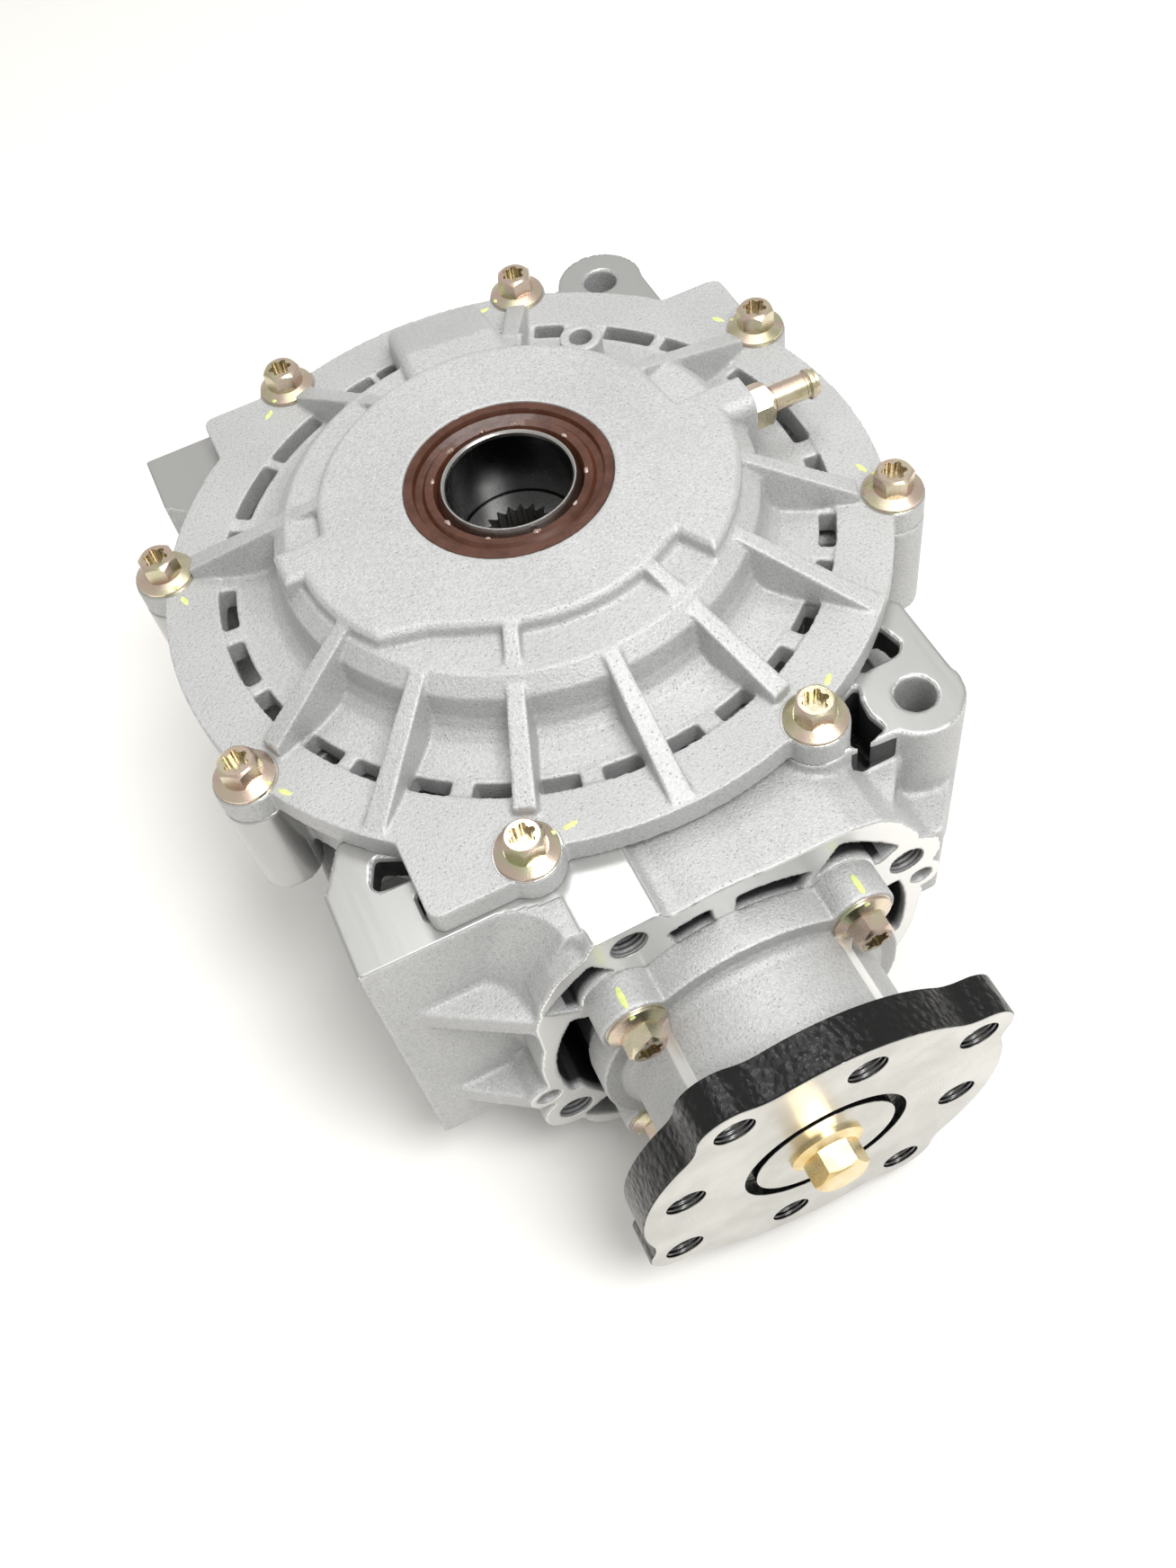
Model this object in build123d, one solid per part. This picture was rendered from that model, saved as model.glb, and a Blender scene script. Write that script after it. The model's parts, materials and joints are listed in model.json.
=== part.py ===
from build123d import *
from collections import namedtuple
import math
import os

# A rear axle drive unit, lying on its side cover's back as it is photographed.
# The two wheel outputs turn about Z and the drive input turns about the line
# x = 0, z = pinion_z, which leaves the front along -Y.  Sizes in millimetres.
# Origin: the middle of the upper output, level with the cover's bolt seats.

# cover flange
bolt_circle = 112.0
bolt_count = 8
bolt_first = 22.5
flange_radius = 111.3
flange_thick = 8.8
flange_opening = 94.5
joint_z = -flange_thick
tab_corner = 4.0

# fasteners of the cover and of the input cartridge
m8_radius = 4.0
m8_hole = 4.5
m8_tapped = 4.04
m8_flange = 9.0
m8_across = 10.6
m8_head = 8.6
washer_edge = 1.1
washer_rise = 1.5
recess_depth = 3.2

# cover bowl
hub_top = 24.6
hub_edge = 53.0
ledge_z = 19.5
ledge_edge = 68.0
bevel = 4.7
floor_edge = 89.5
floor_z = -1.0
spigot_radius = 78.9
spigot_depth = 5.7
rib_base = 7.0
rib_top = 4.4

# output parts
sleeve_radius = 21.5
sleeve_bore = 19.0
sleeve_top = 23.9
sleeve_taper = 3.4
sleeve_rim = 20.0
spline_teeth = 21
spline_major = 13.0
spline_minor = 10.8
spline_length = 32.0
seal_radius = 31.0
seal_height = 10.0
seal_step = 26.0
run_gap = 0.05
fit_gap = 0.03

# gear train
pinion_z = -74.0
ring_teeth = 31
pinion_teeth = 11
ring_pitch = 70.0
gear_face = 22.0
side_teeth = 16
spider_teeth = 10
side_pitch = 24.0
side_face = 9.0
pressure_slope = math.tan(math.radians(20))
ring_back = -36.0
ring_outer = 74.0
ring_bore = 46.5
case_radius = 41.0
case_flange = 62.0
case_flange_thick = 9.0
case_pocket = 27.8
pin_radius = 8.0
trunnion_radius = 28.0

# bearings: bore radius, outer radius, width, number of rollers
Bearing = namedtuple("Bearing", "bore outer width count")
case_bearing = Bearing(trunnion_radius, 42.0, 19.0, 16)
head_bearing = Bearing(17.5, 37.0, 18.8, 13)
tail_bearing = Bearing(15.0, 31.0, 15.0, 12)
roller_lean = 13.0
upper_bearing_z = -8.0
lower_bearing_z = -127.0

# housing
cup_bore = 79.0
cup_wall = 7.0
cup_floor = -107.0
floor_thick = 7.0
frame_left = -96.5
frame_right = 87.5
frame_front = -112.0
frame_back = 106.5
frame_wall = 8.0
frame_bottom = -107.0
plate_thick = 11.0
front_lean = 7.4
web_half = 3.0
right_bottom = -72.0
pillar_bottom = -78.0
rim_outer = 105.4
rim_inner = 97.2
rim_low = -34.0
rim_web = 4.4
column_web = 8.0
ear_x = 74.0
ear_y = 104.4
ear_radius = 14.0
ear_hole = 5.9
lower_face = -140.0
lower_boss = 50.0
column_radius = 9.8
column_bottom = -46.0
side_top = column_bottom - 2
pocket_floor = -70.0

# input side, measured from Z
mount_s = 132.2
cartridge_flange = 11.6
cartridge_s = mount_s + cartridge_flange
cartridge_edge = 48.2
cartridge_lobe = 10.6
cartridge_bolts = 49.0
cartridge_spigot = 44.0
snout_radius = 39.9
snout_end = 171.5
companion_s = 186.1
companion_thick = 12.2
companion_radius = 56.5
companion_hub = 21.0
outer_holes = 53.2
inner_holes = 44.3
outer_angle = 30.0
inner_angle = 75.0
drive_hole = 6.0
lobe_radius = 11.0
lobe_blend = 14.0
groove_outer = 25.5
groove_inner = 21.8
groove_depth = 3.0
mount_radius = 62.8
mount_bolt_radius = 63.5
mount_tapped = 5.2
mount_boss = 10.6
top_boss = 13.0
mount_first = 27.0
dowel_angles = (14, 191)
front_dowel_circle = 64.2
window_floor = 72.0
window_inner = 46.5
neck_side = 60.0
neck_lap = 0.4
neck_blend = 15.0
sheath_start = 54.0
drilled_boss = (49.8, 63.6)
boss_radius = 6.9
boss_bore = 3.7
boss_height = 8.0
dowel_radius = 3.5
cover_dowels = ((-66.5, -103.2), (-66.5, 96.8))
groove_width = 2.6
groove_cut = 2.0
cover_groove = joint_z - 4.2
cartridge_groove = mount_s - 9.0
spigot_bore = 71.4
barb_bore = 2.6
breather_y = -4.3
breather_z = 15.5
arm_end = 76.0
breather_length = 22.6


# small tools
def polar(radius, degrees, centre=(0, 0)):
    turn = math.radians(degrees)
    return (centre[0] + radius * math.cos(turn), centre[1] + radius * math.sin(turn))


def rod(radius, low, high):
    return Pos(0, 0, low) * Cylinder(
        radius, high - low, align=(Align.CENTER, Align.CENTER, Align.MIN)
    )


def tube(outer, inner, low, high):
    return rod(outer, low, high) - rod(inner, low - 1, high + 1)


def turned(*points):
    return revolve(make_face(Plane.XZ * Polyline(*points, close=True)), Axis.Z)


def slab(sketch, low, high):
    return extrude(Pos(0, 0, low) * sketch, high - low)


def plate(points, low, high):
    return slab(make_face(Polyline(*points, close=True)), low, high)


def block(x, y, z):
    middle = [(a + b) / 2 for a, b in (x, y, z)]
    return Pos(*middle) * Box(x[1] - x[0], y[1] - y[0], z[1] - z[0])


def rounded(x, y, corner):
    spot = Pos((x[0] + x[1]) / 2, (y[0] + y[1]) / 2)
    return spot * RectangleRounded(x[1] - x[0], y[1] - y[0], corner)


def sector(inner, outer, middle, span):
    first, last = middle - span / 2, middle + span / 2
    edges = [
        ThreePointArc(polar(inner, first), polar(inner, middle), polar(inner, last)),
        Line(polar(inner, last), polar(outer, last)),
        ThreePointArc(polar(outer, last), polar(outer, middle), polar(outer, first)),
        Line(polar(outer, first), polar(inner, first)),
    ]
    return make_face(edges)


def around(count, radius, first=0.0):
    step = 360 / count
    return [Rot(0, 0, first + step * k) * Pos(radius, 0, 0) for k in range(count)]


def numbered(name, solids):
    return {name + "_" + str(k + 1): solid for k, solid in enumerate(solids)}


def at_input(shape):
    return Pos(0, 0, pinion_z) * (Rot(90, 0, 0) * shape)


# fastener
def flange_bolt(across, flange, head, radius, length, recess=True):
    corner = across / math.sqrt(3)
    dish = turned((0, 0), (flange, 0), (flange, washer_edge), (corner, washer_edge + washer_rise),
                  (0, washer_edge + washer_rise))
    crown = turned((0, 0), (corner + 1, 0), (corner + 1, head - 2), (across / 2 - 0.5, head), (0, head))
    bolt = dish + (slab(RegularPolygon(across / 2, 6, major_radius=False), 0, head) & crown)
    if recess:
        star = Circle(0.27 * across)
        for k in range(6):
            star += Pos(*polar(0.27 * across, 60 * k)) * Circle(0.09 * across)
        bolt -= slab(star, head - recess_depth, head + 1)
    return bolt + rod(radius, -length, 0.5)


# bevel teeth
# Every tooth is a cone of directions from the point where the two axes meet.
# The larger gear has straight flanks; the smaller gear's flanks are what the
# larger gear leaves free as the pair turns, less the backlash.
class BevelPair:
    def __init__(self, wheel_count, small_count, pitch, face, wheel_add, small_add, slack):
        self.wheel_count, self.small_count = wheel_count, small_count
        self.ratio = wheel_count / small_count
        self.small_cone = math.atan(small_count / wheel_count)
        self.wheel_cone = math.pi / 2 - self.small_cone
        self.reach = pitch / math.sin(self.wheel_cone)
        self.inner = (self.reach - face) / self.reach
        self.wheel_add, self.small_add = wheel_add / self.reach, small_add / self.reach
        self.clear = 0.2 * (wheel_add + small_add) / self.reach
        self.slack = slack / self.reach
        self.thick = 0.47 * math.pi / wheel_count * math.sin(self.wheel_cone)

    def wheel_half(self, cone):
        thick = self.thick - (cone - self.wheel_cone) * pressure_slope
        return thick / math.sin(cone)

    def wheel_tip(self):
        return self.wheel_cone + self.wheel_add

    def wheel_root(self):
        return self.wheel_cone - self.small_add - self.clear

    def small_tip(self):
        return self.small_cone + self.small_add

    def small_root(self):
        return self.small_cone - self.wheel_add - self.clear

    def small_gap(self, cone):
        widest = 0.0
        cone = max(cone, self.small_cone - self.wheel_add + 0.001)
        for step in range(-500, 501):
            turn = step * 0.0024
            side = math.sin(cone) * math.sin(turn)
            up = math.sin(cone) * math.cos(turn)
            wheel_cone = math.acos(up)
            if wheel_cone > self.wheel_tip():
                continue
            azimuth = math.atan2(side, math.cos(cone))
            reach = turn - self.ratio * (azimuth - self.wheel_half(wheel_cone))
            widest = max(widest, reach)
        return widest

    def small_half(self, cone):
        return math.pi / self.small_count - self.small_gap(cone) - self.slack / math.sin(cone)


def gear_outline(count, root, tip, half, first, levels=4):
    cones = [root + (tip - root) * k / levels for k in range(levels + 1)]
    points = []
    for tooth in range(count):
        middle = first + 2 * math.pi * tooth / count
        rising = [(cone, middle - half(cone)) for cone in cones]
        falling = [(cone, middle + half(cone)) for cone in reversed(cones)]
        points += [(math.tan(cone) * math.cos(a), math.tan(cone) * math.sin(a))
                   for cone, a in rising + falling]
    return points


def toothed_cone(points, near, far):
    ends = [Polyline(*[(x * d, y * d, d) for x, y in points], close=True) for d in (near, far)]
    return loft([make_face(end) for end in ends], ruled=True)


def on_cone(pair, cone, share, lift=0.0):
    # a point in the (axis distance, radius) plane: share of the way out along
    # the pitch line, then lift away from the axis at right angles to it
    along = pair.reach * share
    return (along * math.cos(cone) - lift * math.sin(cone),
            along * math.sin(cone) + lift * math.cos(cone))


axle_pair = BevelPair(ring_teeth, pinion_teeth, ring_pitch, gear_face, 2.3, 4.0, 0.22)
cross_pair = BevelPair(side_teeth, spider_teeth, side_pitch, side_face, 1.6, 2.6, 0.14)


def wheel_blank_tip(pair):
    lift = pair.wheel_add * pair.reach
    outer = on_cone(pair, pair.wheel_cone, 1.0, lift)
    inner = on_cone(pair, pair.wheel_cone, pair.inner, lift * pair.inner)
    return (outer[1], outer[0]), (inner[1], inner[0])


def small_blank_tip(pair):
    lift = pair.small_add * pair.reach
    outer = on_cone(pair, pair.small_cone, 1.0, lift)
    inner = on_cone(pair, pair.small_cone, pair.inner, lift * pair.inner)
    return (outer[1], outer[0]), (inner[1], inner[0])


def wheel_cone_solid(pair, near, far, first):
    outline = gear_outline(pair.wheel_count, pair.wheel_root(), pair.wheel_tip(),
                           pair.wheel_half, first, 1)
    return toothed_cone(outline, near, far)


def small_cone_solid(pair, near, far, first):
    outline = gear_outline(pair.small_count, pair.small_root(), pair.small_tip(),
                           pair.small_half, first)
    return toothed_cone(outline, near, far)


def ring_gear():
    depth = ring_back - pinion_z
    outer, inner = wheel_blank_tip(axle_pair)
    blank = turned((ring_bore, inner[1] + 3.4), inner, outer,
                   (ring_outer - 0.8, outer[1] + 6.2), (ring_outer, outer[1] + 9),
                   (ring_outer, depth), (ring_bore, depth))
    teeth = wheel_cone_solid(axle_pair, inner[1] - 1, depth + 1, -math.pi / 2)
    holes = [spot * rod(m8_tapped, depth - 13, depth + 1) for spot in ring_bolt_spots()]
    return Pos(0, 0, pinion_z) * ((blank & teeth) - holes)


def ring_bolt_spots():
    return around(8, 54.5, 11.25)


def ring_bolts():
    seat = ring_back + case_flange_thick
    bolt = flange_bolt(12.0, 8.0, 6.5, m8_radius, case_flange_thick + 11, recess=False)
    return Compound([spot * Pos(0, 0, seat) * bolt for spot in ring_bolt_spots()])


# pinion line
def spline_outline(count, major, minor):
    return [polar(radius, 360 * (tooth + share) / count)
            for tooth in range(count)
            for radius, share in ((minor, -0.25), (major, -0.08), (major, 0.08), (minor, 0.25))]


def pinion_shaft():
    outer, inner = small_blank_tip(axle_pair)
    head_seat = head_bearing_s()
    back = (outer[0] - 6.5, outer[1] + 2.2)
    blank = turned((0, inner[1] - 1.4), (inner[0] - 4.6, inner[1] - 1.4), inner, outer, back,
                   (head_bearing.bore + 4.5, head_seat), (0, head_seat))
    teeth = small_cone_solid(axle_pair, inner[1] - 2, head_seat + 1,
                             math.pi / 2 + math.pi / pinion_teeth)
    tail = tail_bearing_s()
    shaft = rod(head_bearing.bore - 0.02, head_seat - 1, tail - 0.2)
    shaft += rod(tail_bearing.bore - 0.02, tail - 1, tail + tail_bearing.width - 0.3)
    splines = plate(spline_outline(18, 13.0, 11.8), tail + 10, companion_s - 6.1)
    shaft += splines
    bore = rod(6.03, companion_s - 34, companion_s)
    return at_input((blank & teeth) + shaft - bore)


def head_bearing_s():
    outer = small_blank_tip(axle_pair)[0]
    return outer[1] + 7.4


def tail_bearing_s():
    return snout_end - 7.5 - tail_bearing.width - 0.7


def spacer_tube():
    low = head_bearing_s() + head_bearing.width
    return at_input(tube(20.4, head_bearing.bore + 0.3, low, tail_bearing_s()))


def companion_flange():
    back = companion_s - companion_thick
    outline = Circle(companion_radius)
    for k in range(4):
        outline += Pos(*polar(outer_holes, outer_angle + 90 * k)) * Circle(lobe_radius)
    outline = fillet(outline.vertices(), lobe_blend)
    disc = slab(outline, back, companion_s)
    disc = chamfer(disc.edges().filter_by_position(Axis.Z, companion_s - 0.01, companion_s + 0.01), 0.5)
    hub_low = tail_bearing_s() + tail_bearing.width
    disc += rod(companion_hub, hub_low, back + 1)
    disc -= plate(spline_outline(18, 13.0 + fit_gap * 2, 11.8 + fit_gap * 2),
                  hub_low - 1, companion_s - 5)
    disc -= rod(6.5, back, companion_s + 1)
    disc -= tube(groove_outer, groove_inner, companion_s - groove_depth, companion_s + 1)
    for radius, angle in ((outer_holes, outer_angle), (inner_holes, inner_angle)):
        for spot in around(4, radius, angle):
            disc -= spot * rod(drive_hole, back - 1, companion_s + 1)
    return at_input(disc)


def flange_centre_bolt():
    bolt = flange_bolt(15.0, 11.2, 10.2, 6.0, 30, recess=False)
    return at_input(Pos(0, 0, companion_s) * bolt)


def pinion_seal():
    low = snout_end - 6.6
    lip = companion_hub + run_gap
    return at_input(turned((29, low), (29, snout_end - 0.3), (lip + 1.6, snout_end - 0.3),
                           (lip, snout_end - 1.6), (lip, low + 3.4), (lip + 1.0, low + 2.6),
                           (26.4, low + 2.2), (27.4, low)))


# bearings
def bearing_cones(size):
    middle = (size.bore + size.outer) / 2 + 0.2
    roller = 0.25 * (size.outer - size.bore)
    apex = middle / math.sin(math.radians(roller_lean))
    spread = math.degrees(math.asin(roller / apex))
    return middle, apex, spread


def bearing_cup(size):
    middle, _, spread = bearing_cones(size)
    slope = math.tan(math.radians(roller_lean + spread))

    def race(z):
        return (apex_height(middle) + z - size.width / 2) * slope + run_gap

    low, high = 0, size.width - 1.5
    outer = size.outer - 0.02
    return turned((outer, low), (outer, high), (race(high), high), (race(low), low))


def apex_height(middle):
    return middle / math.tan(math.radians(roller_lean))


def bearing_cone(size):
    middle, _, spread = bearing_cones(size)
    slope = math.tan(math.radians(roller_lean - spread))

    def race(z):
        return (apex_height(middle) + z - size.width / 2) * slope - run_gap

    low, high, lip = 1.5, size.width, 2.1
    return turned((size.bore + 0.01, low), (size.bore + 0.01, high), (race(high) + 1.0, high),
                  (race(high - lip) + 1.2, high - lip + 0.3), (race(high - lip), high - lip),
                  (race(low + lip), low + lip), (race(low + lip) + 0.5, low + lip - 0.2),
                  (race(low) + 0.5, low))


def bearing_rollers(size):
    middle, apex, spread = bearing_cones(size)
    length = (size.width - 6.6) / math.cos(math.radians(roller_lean))
    slope = math.sin(math.radians(spread))
    near, far = (apex - length / 2) * slope, (apex + length / 2) * slope
    roller = Cone(near, far, length)
    mid = size.width / 2
    placed = [Rot(0, 0, 360 * k / size.count) * Pos(middle, 0, mid) * Rot(0, roller_lean, 0) * roller
              for k in range(size.count)]
    drop = math.tan(math.radians(roller_lean))
    half = length / 2 - 1.0
    cage = turned((middle + half * drop - 0.7, mid + half), (middle + half * drop + 0.7, mid + half),
                  (middle - half * drop + 0.7, mid - half), (middle - half * drop - 0.7, mid - half))
    return cage.fuse(*placed)


def bearing_place(name):
    flip = Rot(180, 0, 0)
    width = case_bearing.width
    return {
        "upper": Pos(0, 0, upper_bearing_z + width) * flip,
        "lower": Pos(0, 0, lower_bearing_z),
        "head": Pos(0, 0, pinion_z) * Rot(90, 0, 0) * Pos(0, 0, head_bearing_s() + head_bearing.width)
        * flip,
        "tail": Pos(0, 0, pinion_z) * Rot(90, 0, 0) * Pos(0, 0, tail_bearing_s()),
    }[name]


# differential
def case_body():
    top = ring_back + case_flange_thick
    side_room = side_back() + 1.15
    outside = turned(
        (0, pinion_z - side_room - 7), (34, pinion_z - side_room - 7), (case_radius, pinion_z - 24),
        (case_radius, ring_back - 6), (ring_bore - fit_gap, ring_back - 6),
        (ring_bore - fit_gap, ring_back), (case_flange, ring_back), (case_flange, top),
        (45.8, top), (38, top + 2.5), (33.5, upper_bearing_z - 0.1), (0, upper_bearing_z - 0.1))
    seat = case_bearing.width
    outside += rod(trunnion_radius, upper_bearing_z - 1, upper_bearing_z + seat - 0.6)
    outside += rod(trunnion_radius, lower_bearing_z + 0.6, lower_bearing_z + seat + 1)
    outside += rod(33.5, lower_bearing_z + seat + 0.1, pinion_z - side_room - 5)
    inside = rod(sleeve_radius + run_gap, lower_bearing_z - 5, hub_top)
    inside += rod(case_pocket, pinion_z - side_room, pinion_z + side_room)
    cross = spider_room()
    inside += Pos(0, 0, pinion_z) * Rot(0, 90, 0) * rod(18.6, -cross, cross)
    bores = Pos(0, 0, pinion_z) * Rot(0, 90, 0) * rod(pin_radius + fit_gap, -60, 60)
    windows = Pos(0, 0, pinion_z) * Box(22, 2 * case_radius + 4, 26)
    body = outside - inside - bores - windows
    for spot in ring_bolt_spots():
        body -= spot * rod(m8_radius + 0.2, ring_back - 1, top + 1)
    return body - roll_pin_hole()


def roll_pin_hole():
    return Pos(34.5, 0, pinion_z) * rod(2.03, -13, 13)


def roll_pin():
    return Pos(34.5, 0, pinion_z) * rod(2.0, -13, 13)


def cross_pin():
    along = Pos(0, 0, pinion_z) * Rot(0, 90, 0)
    half = case_radius - 0.6
    return along * rod(pin_radius, -half, half) - roll_pin_hole()


def side_back():
    return 22.0


def spider_room():
    return 32.4


def side_gear(side):
    outer, inner = wheel_blank_tip(cross_pair)
    back = side_back()
    bore = spline_major + 0.6
    blank = turned((bore, inner[1] + 2.6), inner, outer, (case_pocket - 0.6, outer[1] + 3.2),
                   (case_pocket - 0.6, back), (bore, back))
    teeth = wheel_cone_solid(cross_pair, inner[1] - 1, back + 1, 0)
    gear = (blank & teeth)
    end = sleeve_top - pinion_z if side > 0 else pinion_z - lower_face - 0.7
    spline_end = -pinion_z - 0.5 if side > 0 else end - sleeve_top
    sleeve = turned((0, back - 3), (sleeve_radius, back - 3), (sleeve_radius, end - sleeve_taper),
                    (sleeve_rim, end), (0, end))
    sleeve -= turned((0, spline_end), (sleeve_bore, spline_end), (sleeve_bore, end - 0.5),
                     (sleeve_bore + 0.5, end), (sleeve_bore + 0.5, end + 1), (0, end + 1))
    spline_low = spline_end - spline_length
    if spline_low > back:
        sleeve -= rod(bore, back - 5, spline_low)
    sleeve -= plate(spline_cut_outline(), spline_low - 1, spline_end + 1)
    gear = gear + sleeve
    turn = Rot(0, 0, 0) if side > 0 else Rot(180, 0, 0)
    return Pos(0, 0, pinion_z) * turn * gear


def spline_cut_outline():
    return [polar(radius, 360 * (tooth + share) / spline_teeth)
            for tooth in range(spline_teeth)
            for radius, share in ((spline_minor, -0.42), (spline_major, -0.06),
                                  (spline_major, 0.06), (spline_minor, 0.42))]


def spider_gear(side):
    outer, inner = small_blank_tip(cross_pair)
    back = spider_room() - 1.1
    bore = pin_radius + run_gap
    blank = turned((bore, inner[1] - 0.9), (inner[0] - 3.0, inner[1] - 0.9), inner, outer,
                   (outer[0] - 2.4, outer[1] + 1.6), (outer[0] - 2.4, back), (bore, back))
    teeth = small_cone_solid(cross_pair, inner[1] - 2, back + 1, math.pi / spider_teeth)
    place = Pos(0, 0, pinion_z) * Rot(0, 90 * side, 0)
    return place * (blank & teeth)


def side_washer(turn):
    back = side_back() + 0.05
    ring = tube(case_pocket - 0.4, sleeve_radius + 0.6, back, back + 1.0)
    return Pos(0, 0, pinion_z) * Rot(turn, 0, 0) * ring


def spider_washer(side):
    back = spider_room() - 1.05
    ring = tube(15.2, pin_radius + 0.3, back, back + 1.0)
    return Pos(0, 0, pinion_z) * Rot(0, 90 * side, 0) * ring


# seals and spacers
def output_seal(top):
    lip = sleeve_radius + run_gap
    low = top - seal_height + 0.4
    return turned((seal_radius - 0.02, low), (seal_radius - 0.02, top - 0.3), (28.4, top - 0.3),
                  (27.8, top - 1.8), (25.8, top - 2.2), (24.8, top - 1.2), (22.4, top - 1.6),
                  (lip, top - 4.4), (lip, top - 7.4), (lip + 1.1, top - 6.4), (27.2, top - 5.2),
                  (28.6, low))


# cover
def bolt_spots():
    return around(bolt_count, bolt_circle, bolt_first)


def flange_outline():
    outline = Circle(flange_radius)
    for k in range(bolt_count):
        outline += Pos(*polar(bolt_circle, bolt_first + 360 / bolt_count * k)) * Circle(9.6)
    for x, y in (((-73.5, -40), (76, 103.8)), ((76, 105), (40, 72.6)), ((-73.4, -40), (-110.4, -76))):
        outline += rounded(x, y, tab_corner)
    return outline


def slot_places():
    # middle angle and width, in degrees, where the photograph shows openings
    pitch = 360 / 32
    low_arc = [(pitch * (k + 0.5), 7.3) for k in range(20, 28)]
    left = [(96, 5), (103, 6), (121.4, 13), (137.2, 14), (150, 5), (167.7, 9.8),
            (181.8, 11), (194, 8), (209, 7.6), (218.6, 6)]
    right = [(320, 6), (330.4, 8), (346, 7), (0.6, 13), (14.5, 8), (33, 6), (43.7, 10.6), (61, 6)]
    return low_arc + left + right


def hub_plateau():
    # the raised top of the hub, which steps in and out around the seal
    inner, outer = 57.4, 67.4
    edges = [
        ThreePointArc((66.5, -11), polar(outer, 330), (39, -55)),
        Polyline((39, -55), (33, -43.6), (24.2, -48.8)),
        ThreePointArc((24.2, -48.8), (0, -hub_edge - 1.5), (-24.5, -48.6)),
        Polyline((-24.5, -48.6), (-41.5, -40), (-55, -36.5)),
        ThreePointArc((-55, -36.5), (-63.5, -20), (-66, -4.5)),
        Polyline((-66, -4.5), (-71.4, -4.2), (-71.4, 8.2), (-56.4, 8.6), polar(inner, 160)),
        ThreePointArc(polar(inner, 160), polar(inner, 90), polar(inner, 22)),
        Polyline(polar(inner, 22), (55.6, 1.5), (66.5, 1.5), (66.5, -11)),
    ]
    return make_face(edges)


def rib(angle, start, knee, end, top_z, end_z):
    side = Plane.XZ * Polyline((start, -2), (start, top_z), (knee, top_z), (end, end_z), (end, -2),
                               close=True)
    wall = extrude(make_face(side), rib_base, both=True)
    low, high = rib_base / 2, rib_top / 2
    shape = Plane.YZ * Polyline((-low, -2), (low, -2), (high, hub_top), (-high, hub_top), close=True)
    drafted = wall & extrude(make_face(shape), 130)
    return Rot(0, 0, angle) * drafted


def cover_ribs():
    walls = [rib(22.5, 50, 58, 102, hub_top - 0.6, 4.0), rib(67.5, 50, 57, 102.5, hub_top - 1, 3.0),
             rib(112.5, 50, 57, 103, hub_top - 1, 3.0), rib(157.5, 50, 56, 102.5, hub_top - 0.6, 4.5),
             rib(202.5, 60, 66, 101.5, hub_top - 1.4, 4.0), rib(337.5, 60, 68, 101.5, hub_top - 2.6, 3.6),
             rib(247.5, 50, 56, 101, hub_top - 0.6, 3.6), rib(292.5, 50, 56, 101, hub_top - 0.6, 3.6)]
    walls += [rib(angle, 64, 69, 109.5, ledge_z - 0.3, 0.3) for angle in (225, 270, 315)]
    return walls


def oil_gallery():
    side = Plane.XZ * Polyline((44, -2), (44, hub_top - 0.3), (66, hub_top - 0.6), (98, 9.5),
                               (104, -2), close=True)
    hump = extrude(make_face(side), 16.5, both=True)
    upper = [e for e in hump.edges() if e.center().Z > 2 and e.center().X > 50]
    hump = fillet(upper, 4.0)
    return Rot(0, 0, 84) * hump


def breather_arm():
    arm = block((52, arm_end), (-11, 1.5), (4, hub_top - 0.2))
    edge = [e for e in arm.edges() if e.center().Y < -10 and e.center().Z > 20]
    return fillet(edge, 4.5)


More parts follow.
